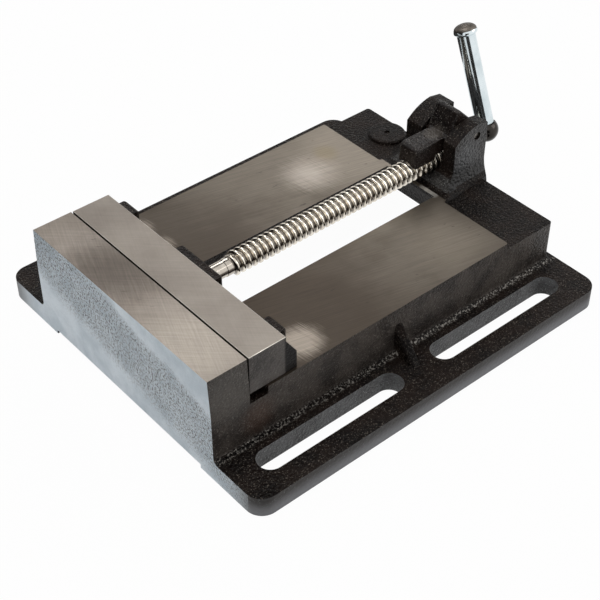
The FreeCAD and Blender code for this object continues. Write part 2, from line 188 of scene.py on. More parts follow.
# The bracket's flared foot is drawn in and down towards the rear, where it meets the cross member
# without a step, and the far cheek is the thicker one.
bracket_rear = 124.5 * MM
cheek_half = 18.5 * MM
far_cheek = 21.5 * MM
flare_half = 27.0 * MM
rear_flare_half = 21.7 * MM
neck_height = 51.6 * MM
for station in (88.0 * MM, 92.0 * MM, 98.0 * MM, 106.0 * MM, 115.0 * MM):
    bpy.ops.object.mode_set(mode="EDIT")
    bpy.ops.mesh.select_mode(type="FACE")
    bpy.ops.mesh.select_all(action="DESELECT")
    mesh = bmesh.from_edit_mesh(base.data)
    for face in mesh.faces:
        middle = face.calc_center_bounds()
        beside = cheek_half - MM < abs(middle.y) < flare_half + MM
        low = cross_member_top - MM < middle.z < neck_height + MM
        face.select = beside and middle.x > bracket_front + MM and low
    bmesh.update_edit_mesh(base.data)
    bpy.ops.mesh.bisect(plane_co=(station, 0, 0), plane_no=(1, 0, 0))
    bpy.ops.object.mode_set(mode="OBJECT")
for vert in base.data.vertices:
    x, y, z = vert.co
    if x > bracket_front and y > cheek_half - 0.05 * MM and z > neck_height + 0.1 * MM:
        vert.co.y = far_cheek
    if x < bracket_front + 0.2 * MM:
        continue
    if not cross_member_top - 0.05 * MM < z < neck_height + 0.1 * MM:
        continue
    if cheek_half - 0.05 * MM < abs(y) < flare_half + 0.1 * MM:
        out = (abs(y) - cheek_half) / (flare_half - cheek_half)
        back = (x - bracket_front) / (bracket_rear - bracket_front)
        half = flare_half + (rear_flare_half - flare_half) * back
        drop = min(1.0, (x - bracket_front) / (8.0 * MM)) * out**2
        inner = far_cheek if y > 0 else cheek_half
        wanted_y = inner + (half - inner) * out
        wanted_z = max(cross_member_top, z - (way_height - cross_member_top) * drop)
        vert.co = (x, math.copysign(wanted_y, y), wanted_z)
bpy.ops.object.mode_set(mode="EDIT")
bpy.ops.mesh.select_all(action="SELECT")
bpy.ops.mesh.remove_doubles(threshold=0.02 * MM)
bpy.ops.mesh.dissolve_degenerate(threshold=0.02 * MM)
bpy.ops.object.mode_set(mode="OBJECT")


def pad_rim(middle, run):
    return near(middle.z, pad_middle.z) and (middle - pad_middle).length > pad_radius - MM


bevel_where(base, 1.9 * MM, 4, flange_rim)
bevel_where(base, 1.3 * MM, 3, pad_rim)
bevel_where(base, 1.6 * MM, 3, front_corner)
bevel_where(base, 0.9 * MM, 3, slot_rim)
bevel_where(base, 2.6 * MM, 5, far_crest)
bevel_where(base, 1.2 * MM, 3, bracket_edge)
bevel_where(base, 1.3 * MM, 3, member_edge)


def ground_edge(middle, run):
    on_way = near(middle.z, way_height) and middle.x < way_end + MM
    return near(middle.z, jaw_top) or on_way


bevel_where(base, 0.4 * MM, 2, ground_edge)
smooth_flats(base)


def put(tree, kind, inputs=(), **settings):
    """Adds a shader node; an input is given as a value or as the socket that feeds it."""
    node = tree.nodes.new("ShaderNode" + kind)
    for key, value in settings.items():
        setattr(node, key, value)
    for key, value in dict(inputs).items():
        if isinstance(value, bpy.types.NodeSocket):
            tree.links.new(value, node.inputs[key])
        else:
            node.inputs[key].default_value = value
    return node


def group(name, inputs, outputs):
    """An empty node group with named sockets, and its two end nodes."""
    tree = bpy.data.node_groups.new(name, "ShaderNodeTree")
    for socket, kind, value in inputs:
        made = tree.interface.new_socket(
            name=socket, in_out="INPUT", socket_type="NodeSocket" + kind
        )
        if value is not None:
            made.default_value = value
    for socket, kind in outputs:
        tree.interface.new_socket(
            name=socket, in_out="OUTPUT", socket_type="NodeSocket" + kind
        )
    return tree, tree.nodes.new("NodeGroupInput"), tree.nodes.new("NodeGroupOutput")


def use(tree, grouped, inputs):
    node = tree.nodes.new("ShaderNodeGroup")
    node.node_tree = grouped
    for key, value in inputs.items():
        if isinstance(value, bpy.types.NodeSocket):
            tree.links.new(value, node.inputs[key])
        else:
            node.inputs[key].default_value = value
    return node


def math_of(tree, operation, a, b=0.0, clamp=False):
    return put(tree, "Math", {0: a, 1: b}, operation=operation, use_clamp=clamp).outputs[0]


def colour_blend(tree, share, a, b):
    """Mixes two colours, each a colour or a socket."""
    node = tree.nodes.new("ShaderNodeMix")
    node.data_type = "RGBA"
    for socket, value in ((node.inputs[0], share), (node.inputs[6], a), (node.inputs[7], b)):
        if isinstance(value, bpy.types.NodeSocket):
            tree.links.new(value, socket)
        else:
            socket.default_value = value
    return node.outputs[2]


def ramp(tree, value, low, high):
    """0 below low, 1 above high, smooth between."""
    node = put(
        tree,
        "MapRange",
        {"Value": value, "From Min": low, "From Max": high},
        interpolation_type="SMOOTHSTEP",
    )
    return node.outputs["Result"]


def noise(tree, vector, scale, detail, roughness):
    inputs = {"Vector": vector, "Scale": scale, "Detail": detail, "Roughness": roughness}
    return put(tree, "TexNoise", inputs).outputs[0]


def cast_skin_group():
    """Hammered sprayed paint on a sand-cast skin: small domes, grit, and specks for painted glints.
    """
    tree, start, end = group(
        "cast skin",
        [("Vector", "Vector", None), ("Grain", "Float", 500.0), ("Grit", "Float", 1.0)],
        [("Height", "Float"), ("Glint", "Float"), ("Cloud", "Float")],
    )
    vector, grain, grit = (start.outputs[k] for k in ("Vector", "Grain", "Grit"))
    dome_inputs = {"Vector": vector, "Scale": grain, "Smoothness": 0.6}
    domes = put(tree, "TexVoronoi", dome_inputs, feature="SMOOTH_F1").outputs["Distance"]
    sand = noise(tree, vector, math_of(tree, "MULTIPLY", grain, 1.9), 3.0, 0.6)
    cloud = noise(tree, vector, 60.0, 4.0, 0.55)
    height = math_of(tree, "SUBTRACT", math_of(tree, "MULTIPLY", sand, grit), domes)
    specks = noise(tree, vector, math_of(tree, "MULTIPLY", grain, 2.4), 1.0, 0.5)
    tree.links.new(height, end.inputs["Height"])
    tree.links.new(ramp(tree, specks, 0.60, 0.74), end.inputs["Glint"])
    tree.links.new(cloud, end.inputs["Cloud"])
    return tree


cast_skin = cast_skin_group()


def rgb(text):
    """A linear colour from its sRGB hexadecimal form."""
    values = [int(text[i : i + 2], 16) / 255 for i in (0, 2, 4)]
    return [v / 12.92 if v <= 0.04045 else ((v + 0.055) / 1.055) ** 2.4 for v in values] + [1.0]


def marked(tree, place, tone, cloud, streak, marks):
    """Soft marks on a finish, each a place, full and end radius, colour, share and streakiness."""
    for x, y, z, inner, outer, colour, share, feather in marks:
        gap = put(tree, "VectorMath", {0: place, 1: (x * MM, y * MM, z * MM)}, operation="DISTANCE")
        reach = math_of(tree, "ADD", gap.outputs["Value"], math_of(tree, "MULTIPLY", cloud, 0.012))
        reach = math_of(tree, "ADD", reach, math_of(tree, "MULTIPLY", streak, feather * MM))
        middle = 0.006 + feather * MM / 2
        inside = ramp(tree, reach, outer * MM + middle, inner * MM + middle)
        tone = colour_blend(tree, math_of(tree, "MULTIPLY", inside, share), tone, rgb(colour))
    return tone


def painted(
    name,
    dark,
    light,
    grain,
    depth,
    roughness,
    glint,
    glint_share=0.5,
    shine=0.2,
    marks=(),
    cove=False,
):
    """Black sprayed paint over the cast skin, with painted glints; along the cove a crinkled line
    of painted highlight.
    """
    material = bpy.data.materials.new(name)
    material.use_nodes = True
    tree = material.node_tree
    shader = tree.nodes["Principled BSDF"]
    shader.inputs["Specular IOR Level"].default_value = shine
    place = put(tree, "TexCoord").outputs["Object"]
    skin = use(tree, cast_skin, {"Vector": place, "Grain": grain, "Grit": 0.8})
    tone = colour_blend(tree, ramp(tree, skin.outputs["Cloud"], 0.35, 0.65), rgb(dark), rgb(light))
    tone = marked(tree, place, tone, skin.outputs["Cloud"], skin.outputs["Height"], marks)
    # The glints are painted highlights: light specks mixed into the base colour.
    share = math_of(tree, "MULTIPLY", skin.outputs["Glint"], glint_share)
    tone = colour_blend(tree, share, tone, rgb(glint))
    # Painted highlight: a crinkled light line along the fillet between wall and flange.
    if cove:
        parts = put(tree, "SeparateXYZ", {"Vector": place}).outputs
        out = math_of(tree, "SUBTRACT", math_of(tree, "ABSOLUTE", parts["Y"]), wall_side + 2.2 * MM)
        up = math_of(tree, "SUBTRACT", parts["Z"], flange_top + 1.6 * MM)
        from_line = put(tree, "CombineXYZ", {1: out, 2: up}).outputs[0]
        reach = put(tree, "VectorMath", {0: from_line}, operation="LENGTH").outputs["Value"]
        crinkle = ramp(tree, noise(tree, place, 900.0, 2.0, 0.5), 0.5, 0.62)
        painted_cove_highlight = math_of(tree, "MULTIPLY", crinkle, ramp(tree, reach, 0.0024, 0.0008))
        tone = colour_blend(tree, math_of(tree, "MULTIPLY", painted_cove_highlight, 0.8), tone, rgb("c4bfb7"))
    tree.links.new(tone, shader.inputs["Base Color"])
    patchy = math_of(tree, "MULTIPLY", skin.outputs["Cloud"], 0.2)
    tree.links.new(math_of(tree, "ADD", patchy, roughness - 0.1), shader.inputs["Roughness"])
    bump = put(tree, "Bump", {"Height": skin.outputs["Height"], "Strength": 1.0, "Distance": depth})
    tree.links.new(bump.outputs[0], shader.inputs["Normal"])
    return material


black_paint = painted(
    "black paint on the casting",
    "0a0605",
    "1c1410",
    grain=620.0,
    depth=0.0005,
    roughness=0.36,
    glint="8f877d",
    glint_share=0.5,
    shine=0.1,
    cove=True,
)
wall_paint = painted(
    "paint on the body's near wall",
    "27221f",
    "48423d",
    grain=620.0,
    depth=0.0005,
    roughness=0.4,
    glint="8b857e",
    glint_share=0.7,
    marks=[
        (-96, -78, 28, 3, 15, "4f3d33", 0.6, 0),
        (-112, -77, 54, 8, 24, "5d5a56", 0.6, 0),
    ],
    cove=True,
)
cheek_paint_sheen_and_shade = painted(
    "paint on the bracket's cheeks",
    "0e0b0a",
    "221e1c",
    grain=560.0,
    depth=0.0009,
    roughness=0.34,
    glint="8a8885",
    shine=0.4,
    # The grey patch on the near cheek's side is a painted sheen.
    marks=[(109, -18.5, 57, 2, 15, "5b5d5f", 0.6, 3)],
)
# The toe faces up and forwards; its lighter grey is a painted sheen on the black paint.
lit_toe_paint = painted(
    "paint on the bracket's toe",
    "1a1817",
    "383634",
    grain=560.0,
    depth=0.0009,
    roughness=0.34,
    glint="9a9996",
    glint_share=0.6,
    shine=0.3,
)
# The slot walls are painted a lighter grey than the black paint: painted light from the floor.
floor_lit_slot_paint = painted(
    "paint in the slots",
    "474747",
    "6a6b6c",
    grain=620.0,
    depth=0.0009,
    roughness=0.45,
    glint="b4b6b8",
    glint_share=0.7,
    shine=0.3,
)
# The flange's sides get painted light from the floor: the fade below lightens them towards the
# table.
floor_lit_side_paint = painted(
    "paint on the flange's sides",
    "1f1b19",
    "2b2725",
    grain=420.0,
    depth=0.0002,
    roughness=0.5,
    glint="a5a8aa",
    glint_share=0.2,
    shine=0.3,
)


def faded(material, axis, start, end, colour):
    """Lets a paint pass into another colour along one axis, from start to end."""
    tree = material.node_tree
    shader = tree.nodes["Principled BSDF"]
    tone = shader.inputs["Base Color"].links[0].from_socket
    place = put(tree, "TexCoord").outputs["Object"]
    along = put(tree, "SeparateXYZ", {"Vector": place}).outputs[axis]
    share = ramp(tree, along, start, end)
    tree.links.new(colour_blend(tree, share, tone, rgb(colour)), shader.inputs["Base Color"])


# The cheeks darken to black at their foot, a painted shade where they meet the cross member; the
# flange's sides lighten towards the table, a painted light from the floor.
faded(cheek_paint_sheen_and_shade, "Z", 0.0545, 0.0475, "080504")
faded(floor_lit_side_paint, "Z", 0.0105, 0.001, "77787b")


def ground_iron_group():
    """Fine grinding lines that cross at an angle, soft stains and small dark pores."""
    tree, start, end = group(
        "ground iron",
        [("Vector", "Vector", None), ("Turn", "Float", 0.0), ("Lines", "Float", 900.0)],
        [("Line", "Float"), ("Cross", "Float"), ("Stain", "Float"), ("Pore", "Float")],
    )
    vector, turn, fine = (start.outputs[k] for k in ("Vector", "Turn", "Lines"))

    def drawn_out(angle, stretch):
        """Coordinates turned to the grinding's direction and stretched along it."""
        laid = put(tree, "VectorRotate", {"Vector": vector, "Angle": angle}, rotation_type="Z_AXIS")
        inputs = {0: laid.outputs[0], 1: (stretch, 1.0, 1.0)}
        return put(tree, "VectorMath", inputs, operation="MULTIPLY").outputs[0]

    crossing = math_of(tree, "ADD", turn, 1.2)
    tree.links.new(noise(tree, drawn_out(turn, 0.03), fine, 3.0, 0.7), end.inputs["Line"])
    tree.links.new(noise(tree, drawn_out(crossing, 0.04), fine, 3.0, 0.7), end.inputs["Cross"])
    tree.links.new(noise(tree, vector, 22.0, 5.0, 0.55), end.inputs["Stain"])
    pore = noise(tree, drawn_out(turn, 0.25), 480.0, 2.0, 0.6)
    tree.links.new(ramp(tree, pore, 0.68, 0.76), end.inputs["Pore"])
    return tree


ground_iron = ground_iron_group()


def ground(name, dark, light, turn, along, across, roughness, pitted=0.5, marks=()):
    """Bare iron as it left the grinder: its lines, its pits, and soft marks at given places, among
    them painted highlights.
    """
    material = bpy.data.materials.new(name)
    material.use_nodes = True
    tree = material.node_tree
    shader = tree.nodes["Principled BSDF"]
    shader.inputs["Metallic"].default_value = 0.7
    place = put(tree, "TexCoord").outputs["Object"]
    iron = use(tree, ground_iron, {"Vector": place, "Turn": turn, "Lines": 1100.0})
    tone = colour_blend(tree, ramp(tree, iron.outputs["Stain"], 0.35, 0.65), rgb(dark), rgb(light))
    tone = marked(tree, place, tone, iron.outputs["Stain"], iron.outputs["Cross"], marks)
    lines = math_of(
        tree,
        "ADD",
        math_of(tree, "MULTIPLY", iron.outputs["Line"], along),
        math_of(tree, "MULTIPLY", iron.outputs["Cross"], across),
    )
    bright = math_of(tree, "ADD", lines, 1.0 - (along + across) / 2)
    lined = put(tree, "VectorMath", {0: tone, 3: bright}, operation="SCALE")
    pores = math_of(tree, "MULTIPLY", iron.outputs["Pore"], pitted)
    pored = colour_blend(tree, pores, lined.outputs[0], rgb("2a2522"))
    tree.links.new(pored, shader.inputs["Base Color"])
    uneven = math_of(tree, "MULTIPLY", iron.outputs["Cross"], 0.2)
    tree.links.new(math_of(tree, "ADD", uneven, roughness - 0.1), shader.inputs["Roughness"])
    bump = put(tree, "Bump", {"Height": lines, "Strength": 1.0, "Distance": 0.00001})
    tree.links.new(bump.outputs[0], shader.inputs["Normal"])
    return material


way_marks_and_highlights = [
    (-70, 30, 43.6, 30, 100, "423930", 0.7, 10),
    (-70, -60, 43.6, 40, 120, "392f25", 0.85, 10),
    (85, 45, 43.6, 20, 60, "8f867a", 0.7, 8),
    (60, -58, 43.6, 6, 34, "877e71", 0.5, 8),
    # Painted highlight: the soft bright patch on the far way, a lamp's reflection.
    (41, 45, 43.6, 0, 23, "a9a096", 0.85, 16),
    (63, 54, 43.6, 1, 10, "7d6d45", 0.3, 4),
    (-66, 66, 43.6, 3, 12, "b0a498", 0.6, 14),
    (-64, 47, 43.6, 2, 9, "9d9286", 0.6, 14),
    (-57, -64, 43.6, 6, 17, "b3a89b", 0.65, 14),
    (-68, -37, 43.6, 2, 7, "b0a498", 0.6, 14),
    # Painted highlight: a light line along the ledge at the ways' end, before the bracket.
    (83.6, -18, 43.6, 1.6, 4.0, "c9c6c0", 0.6, 0),
    (83.6, -14, 43.6, 1.6, 4.0, "c9c6c0", 0.6, 0),
    (83.6, -10, 43.6, 1.6, 4.0, "c9c6c0", 0.6, 0),
]
jaw_marks = [
    (-110, 22, 68, 4, 36, "615952", 0.8, 10),
    (-116, -50, 68, 8, 45, "b5aca1", 0.8, 10),
    (-116, 70, 68, 2, 22, "9d948a", 0.6, 8),
]
way_iron = ground("ground ways", "5a5248", "6c645a", 0.25, 0.9, 0.15, 0.42, 0.6, way_marks_and_highlights)
jaw_iron = ground("ground jaw top", "877e75", "9c938a", 0.75, 0.5, 0.7, 0.5, 0.25, jaw_marks)
# The narrow bevels along the ground edges are lighter than the ways: partly edge wear, partly
# painted highlight.
edge_wear_and_highlight = ground("worn and highlighted edges", "b9b2a8", "d8d2c8", 0.0, 0.2, 0.2, 0.35, 0.0)


def lit_front_face_paint():
    """The front face is smooth where it was rubbed down, and pitted in a band across it. Its light
    blue-grey is painted light on the black paint, with painted shade in the pits and a painted
    highlight on each pit's lit rim.
    """
    material = bpy.data.materials.new("paint on the front face")
    material.use_nodes = True
    tree = material.node_tree
    shader = tree.nodes["Principled BSDF"]
    place = put(tree, "TexCoord").outputs["Object"]
    skin = use(tree, cast_skin, {"Vector": place, "Grain": 640.0, "Grit": 1.4})
    parts = put(tree, "SeparateXYZ", {"Vector": place})
    across = math_of(tree, "MULTIPLY", parts.outputs["Y"], -0.22)
    wave = noise(tree, place, 28.0, 3.0, 0.5)
    height = math_of(tree, "ADD", parts.outputs["Z"], math_of(tree, "MULTIPLY", wave, 0.018))
    line = math_of(tree, "ADD", height, across)
    under_edge = math_of(tree, "SUBTRACT", 1.0, ramp(tree, line, 0.066, 0.074))
    band = math_of(tree, "MULTIPLY", ramp(tree, line, 0.024, 0.040), under_edge)
    cloud = ramp(tree, skin.outputs["Cloud"], 0.3, 0.7)
    # Painted light: the black paint is coloured a light blue-grey on this face.
    tone = colour_blend(tree, cloud, rgb("bccad4"), rgb("dbe6ee"))
    pitting = noise(tree, place, 780.0, 3.0, 0.7)
    # Painted relief: a copy of the pits' noise, shifted towards the light, gives each pit a lit
    # rim, and the pits get painted shade.
    toward_light = (0, -0.4 * MM, 0.4 * MM)
    beside = put(tree, "VectorMath", {0: place, 1: toward_light}, operation="ADD").outputs[0]
    lit = noise(tree, beside, 780.0, 3.0, 0.7)
    amount = math_of(tree, "ADD", math_of(tree, "MULTIPLY", band, 0.85), 0.06)
    pits = math_of(tree, "MULTIPLY", ramp(tree, pitting, 0.52, 0.40), amount)
    rim_highlights = math_of(tree, "MULTIPLY", ramp(tree, lit, 0.47, 0.40), amount)
    toned = colour_blend(tree, rim_highlights, tone, rgb("eef4f8"))
    toned = colour_blend(tree, pits, toned, rgb("3b454d"))
    # Towards the face's outer ends the painted light passes into a darker grey.
    aside = math_of(tree, "ABSOLUTE", parts.outputs["Y"])
    toned = colour_blend(tree, ramp(tree, aside, 0.084, 0.112), toned, rgb("57595b"))
    tree.links.new(toned, shader.inputs["Base Color"])
    shader.inputs["Roughness"].default_value = 0.4
    depth = math_of(tree, "ADD", math_of(tree, "MULTIPLY", band, 0.9), 0.1)
    relief = math_of(tree, "MULTIPLY", skin.outputs["Height"], depth)
    swell = math_of(tree, "ADD", relief, math_of(tree, "MULTIPLY", wave, 1.5))
    bump = put(tree, "Bump", {"Height": swell, "Strength": 1.0, "Distance": 0.0008})
    tree.links.new(bump.outputs[0], shader.inputs["Normal"])
    return material


lit_front_paint = lit_front_face_paint()


def dress(piece, finishes, choose):
    """Gives each face one of the finishes, chosen by its middle and normal."""
    piece.data.materials.clear()
    for finish in finishes:
        piece.data.materials.append(finish)
    for face in piece.data.polygons:
        face.material_index = finishes.index(choose(face.center, face.normal))


def base_finish(middle, normal):
    on_top = normal.z > 0.9
    if near(middle.z, jaw_top) and on_top:
        return jaw_iron
    over_ways = middle.x < way_end + MM and abs(middle.y) < wall_side
    if near(middle.z, way_height) and on_top and over_ways:
        return way_iron
    edge = 0.35 * MM
    by_jaw_top = abs(middle.z - jaw_top) < edge and middle.x < jaw_face + MM
    along_way = notch_end - MM < middle.x < way_end + MM
    if by_jaw_top or abs(middle.z - way_height) < edge and along_way:
        return edge_wear_and_highlight
    if near(middle.x, front, 0.2 * MM) and normal.x < -0.8:
        return lit_front_paint
    at_side = middle.y < rim_depth - foot_side or middle.y > far_foot_side - rim_depth
    if at_side or abs(middle.x) > -front - rim_depth:
        return floor_lit_side_paint
    below_rim = middle.z < flange_top - 0.5 * MM
    at_end = abs(middle.x) > corner_start_x - 3 * MM
    past_corner = at_end and abs(middle.y) > corner_start_y - 2 * MM
    if past_corner and abs(normal.z) < 0.5 and below_rim:
        return floor_lit_side_paint
    in_slot = abs(abs(middle.y) - slot_line) < slot_wall_half
    if in_slot and abs(normal.z) < 0.3 and below_rim:
        return floor_lit_slot_paint
    on_toe = bracket_front - MM < middle.x < toe_end and middle.z > way_height
    if normal.x < -0.5 and on_toe:
        return lit_toe_paint
    on_cheek = abs(normal.y) > 0.75 and abs(middle.y) > cheek_half - 0.2 * MM
    if on_cheek and middle.x > bracket_front and middle.z > way_height:
        return cheek_paint_sheen_and_shade
    on_wall = normal.y < -0.9 and middle.y < -wall_side + 2 * MM
    return wall_paint if on_wall else black_paint


base_finishes = [
    black_paint,
    floor_lit_side_paint,
    floor_lit_slot_paint,
    cheek_paint_sheen_and_shade,
    lit_toe_paint,
    wall_paint,
    way_iron,
    jaw_iron,
    edge_wear_and_highlight,
    lit_front_paint,
]
dress(base, base_finishes, base_finish)
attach(base, "base")
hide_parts("base_casting")


# ---------------------------------------------------------------------------
# Moving jaw: a casting that slides on the ways, ground bright on top. Two ribs and a boss
# for the screw's nose stand on its foot.
jaw = merged_copy("moving_jaw", "moving_jaw_finished")
moving_back = -76.9 * MM


def jaw_cast_edge(middle, run):
    behind = middle.x > moving_back + 0.5 * MM and middle.z > way_height + MM
    return behind and not near(middle.z, jaw_top)


def jaw_ground_edge(middle, run):
    return near(middle.z, jaw_top)


bevel_where(jaw, 1.3 * MM, 4, jaw_cast_edge)
bevel_where(jaw, 0.3 * MM, 2, jaw_ground_edge)
smooth_flats(jaw)

jaw_iron_fine = ground("ground top of the moving jaw", "8c847c", "9c948b", 0.75, 0.3, 0.3, 0.5, 0.1)
jaw_paint = painted(
    "paint on the moving jaw",
    "3a3735",
    "5c5855",
    grain=560.0,
    depth=0.0004,
    roughness=0.4,
    glint="9a958f",
)
faded(jaw_paint, "X", -0.0784, -0.0768, "0f0b0a")


def jaw_finish(middle, normal):
    if near(middle.z, jaw_top) and normal.z > 0.9:
        return jaw_iron_fine
    if abs(middle.z - jaw_top) < 0.35 * MM:
        return edge_wear_and_highlight
    return jaw_paint if abs(normal.y) > 0.9 and middle.x < moving_back else black_paint


dress(jaw, [jaw_paint, black_paint, jaw_iron_fine, edge_wear_and_highlight], jaw_finish)
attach(jaw, "jaw")
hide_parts("moving_jaw")


# ---------------------------------------------------------------------------
# Lead screw: bright plated steel with a rolled right-hand thread. Its nose turns in the
# moving jaw, and a ball on its outer end carries the lever.
screw_height = 52.4 * MM
thread_start = -55.0 * MM
thread_end = 133.0 * MM
thread_pitch = 4.0 * MM
thread_radius = 7.0 * MM
root_radius = 5.3 * MM
thread_turns = 46
profile_steps = 16
ring_steps = 40


def ridge(share):
    """How high the thread stands, 0 to 1, along one pitch."""
    away = abs(share - 0.5) * 2
    if away < 0.2:
        return 1.0
    if away > 0.78:
        return 0.0
    slope = (0.78 - away) / 0.58
    return slope * slope * (3 - 2 * slope)


bpy.ops.object.select_all(action="DESELECT")
bpy.ops.mesh.primitive_grid_add(x_subdivisions=profile_steps, y_subdivisions=1, size=thread_pitch)
thread = bpy.context.object
thread.name = "lead_screw_thread"
bpy.ops.object.mode_set(mode="EDIT")
bpy.ops.mesh.select_mode(type="VERT")
bpy.ops.mesh.select_all(action="DESELECT")
mesh = bmesh.from_edit_mesh(thread.data)
for vert in mesh.verts:
    vert.select = vert.co.y < 0
mesh.select_flush(True)
bmesh.update_edit_mesh(thread.data)
bpy.ops.mesh.delete(type="VERT")
bpy.ops.object.mode_set(mode="OBJECT")
for vert in thread.data.vertices:
    share = vert.co.x / thread_pitch + 0.5
    radius = root_radius + (thread_radius - root_radius) * ridge(share)
    vert.co = (share * thread_pitch, radius, 0.0)
coil = thread.modifiers.new("thread", "SCREW")
coil.axis = "X"
coil.angle = math.radians(360)
coil.steps = ring_steps
coil.render_steps = ring_steps
coil.screw_offset = thread_pitch
coil.iterations = thread_turns
coil.use_merge_vertices = True
coil.merge_threshold = 0.02 * MM
bpy.ops.object.modifier_apply(modifier=coil.name)

# The ridge fades over the first and last half turn, and both ends are closed inside.
for vert in thread.data.vertices:
    radius = math.hypot(vert.co.y, vert.co.z)
    turn = (math.atan2(vert.co.z, vert.co.y) / math.tau) % 1.0
    along = math.floor(vert.co.x / thread_pitch - turn + 0.001) + turn
    fade = max(0.0, min(1.0, 2 * along, 2 * (thread_turns - along)))
    scale = (root_radius + (radius - root_radius) * fade) / radius
    vert.co = (vert.co.x + thread_start, vert.co.y * scale, vert.co.z * scale + screw_height)
for at_start in (True, False):
    bpy.ops.object.mode_set(mode="EDIT")
    bpy.ops.mesh.select_mode(type="EDGE")
    bpy.ops.mesh.select_all(action="DESELECT")
    mesh = bmesh.from_edit_mesh(thread.data)
    for edge in mesh.edges:
        edge.select = edge.is_boundary and (edge.verts[0].co.x < 0) == at_start
    bmesh.update_edit_mesh(thread.data)
    bpy.ops.mesh.extrude_edges_move()
    bpy.ops.mesh.merge(type="CENTER")
    bpy.ops.object.mode_set(mode="OBJECT")
bpy.ops.object.mode_set(mode="EDIT")
bpy.ops.mesh.select_all(action="SELECT")
bpy.ops.mesh.normals_make_consistent(inside=False)
bpy.ops.object.mode_set(mode="OBJECT")
bpy.ops.object.shade_smooth_by_angle(angle=math.radians(60))


def turned(name, stations, segments=72, angle=30):
    """A turned piece along Z, closed at both ends, from (height, radius) stations."""
    bpy.ops.object.select_all(action="DESELECT")
    bpy.ops.mesh.primitive_circle_add(
        vertices=segments, radius=stations[0][1], fill_type="NGON", location=(0, 0, stations[0][0])
    )
    piece = bpy.context.object
    piece.name = name
    bpy.ops.object.transform_apply(location=True)
    bpy.ops.object.mode_set(mode="EDIT")
    bpy.ops.mesh.select_all(action="SELECT")
    for (below, before), (height, radius) in zip(stations, stations[1:]):
        rise = {"value": (0, 0, height - below)}
        bpy.ops.mesh.extrude_region_move(TRANSFORM_OT_translate=rise)
        widen = (radius / before, radius / before, 1)
        bpy.ops.transform.resize(value=widen, center_override=(0, 0, height))
    bpy.ops.mesh.select_all(action="SELECT")
    bpy.ops.mesh.normals_make_consistent(inside=False)
    bpy.ops.object.mode_set(mode="OBJECT")
    bpy.ops.object.shade_smooth_by_angle(angle=math.radians(angle))
    return piece


def laid_along_screw(piece):
    """Turns a piece made along Z onto the screw's axis."""
    raised = Matrix.Translation((0, 0, screw_height))
    piece.data.transform(raised @ Matrix.Rotation(math.pi / 2, 4, "Y"))


def ball_stations(centre, radius, start, rings):
    """Stations round a ball, from the angle where the neck leaves it to its far pole."""
    angles = [start + (math.pi - start) * i / rings for i in range(rings + 1)]
    return [(centre - radius * math.cos(a), max(radius * math.sin(a), 0.05 * MM)) for a in angles]


nose_radius = 4.9 * MM
groove_radius = 3.7 * MM
collar_radius = 5.2 * MM
nose_tip = -85.2 * MM
groove_start = -75.6 * MM
groove_end = -71.0 * MM
collar_start = -57.0 * MM
nose = turned(
    "lead_screw_nose",
    [
        (nose_tip, nose_radius - MM),
        (nose_tip + MM, nose_radius),
        (groove_start, nose_radius),
        (groove_start, groove_radius),
        (groove_end, groove_radius),
        (groove_end, nose_radius),
        (collar_start - 0.2 * MM, nose_radius),
        (collar_start, collar_radius),
        (thread_start + thread_pitch, collar_radius),
    ],
)
laid_along_screw(nose)

ball_x = 145.4 * MM
ball_radius = 7.6 * MM
neck_radius = 5.8 * MM
neck_angle = math.asin(neck_radius / ball_radius)
ball = turned(
    "lead_screw_ball",
    [
        (thread_end - thread_pitch, collar_radius),
        (thread_end, collar_radius),
        (thread_end, neck_radius - 0.3 * MM),
        (thread_end + 0.3 * MM, neck_radius),
    ]
    + ball_stations(ball_x, ball_radius, neck_angle, 20),
)
laid_along_screw(ball)
spot_face_height = 4.0 * MM
lever_tilt = math.radians(22.6)
lever_way = Vector((0, math.sin(lever_tilt), math.cos(lever_tilt)))
ball_centre = Vector((ball_x, 0, screw_height))
bpy.ops.object.mode_set(mode="EDIT")
bpy.ops.mesh.select_all(action="SELECT")
bpy.ops.mesh.bisect(
    plane_co=ball_centre + lever_way * spot_face_height,
    plane_no=lever_way,
    use_fill=True,
    clear_outer=True,
)
bpy.ops.object.mode_set(mode="OBJECT")


def plated(name, tone, light, roughness, smear, shaded_grooves=False):
    """Bright plating, a little smeared, with a faint drawn grain; on the thread the grooves get
    painted shade.
    """
    material = bpy.data.materials.new(name)
    material.use_nodes = True
    tree = material.node_tree
    shader = tree.nodes["Principled BSDF"]
    shader.inputs["Metallic"].default_value = 1.0
    place = put(tree, "TexCoord").outputs["Object"]
    haze = noise(tree, place, 90.0, 4.0, 0.6)
    plating = colour_blend(tree, ramp(tree, haze, 0.3, 0.7), rgb(tone), rgb(light))
    if shaded_grooves:
        # Painted shade: the thread darkens from below its crest down to the root of the grooves.
        lowered = {0: place, 1: (0, 0, -screw_height)}
        from_axis = put(tree, "VectorMath", lowered, operation="ADD").outputs[0]
        across = {0: from_axis, 1: (0, 1, 1)}
        radial = put(tree, "VectorMath", across, operation="MULTIPLY").outputs[0]
        radius = put(tree, "VectorMath", {0: radial}, operation="LENGTH").outputs["Value"]
        groove_shade = ramp(tree, radius, thread_radius - 0.35 * MM, root_radius + 0.2 * MM)
        plating = colour_blend(tree, math_of(tree, "MULTIPLY", groove_shade, 0.8), plating, rgb("453c33"))
    tree.links.new(plating, shader.inputs["Base Color"])
    smeared = math_of(tree, "MULTIPLY", haze, smear)
    tree.links.new(math_of(tree, "ADD", smeared, roughness), shader.inputs["Roughness"])
    grain = noise(tree, place, 1500.0, 2.0, 0.5)
    bump = put(tree, "Bump", {"Height": grain, "Strength": 0.4, "Distance": 0.00001})
    tree.links.new(bump.outputs[0], shader.inputs["Normal"])
    return material


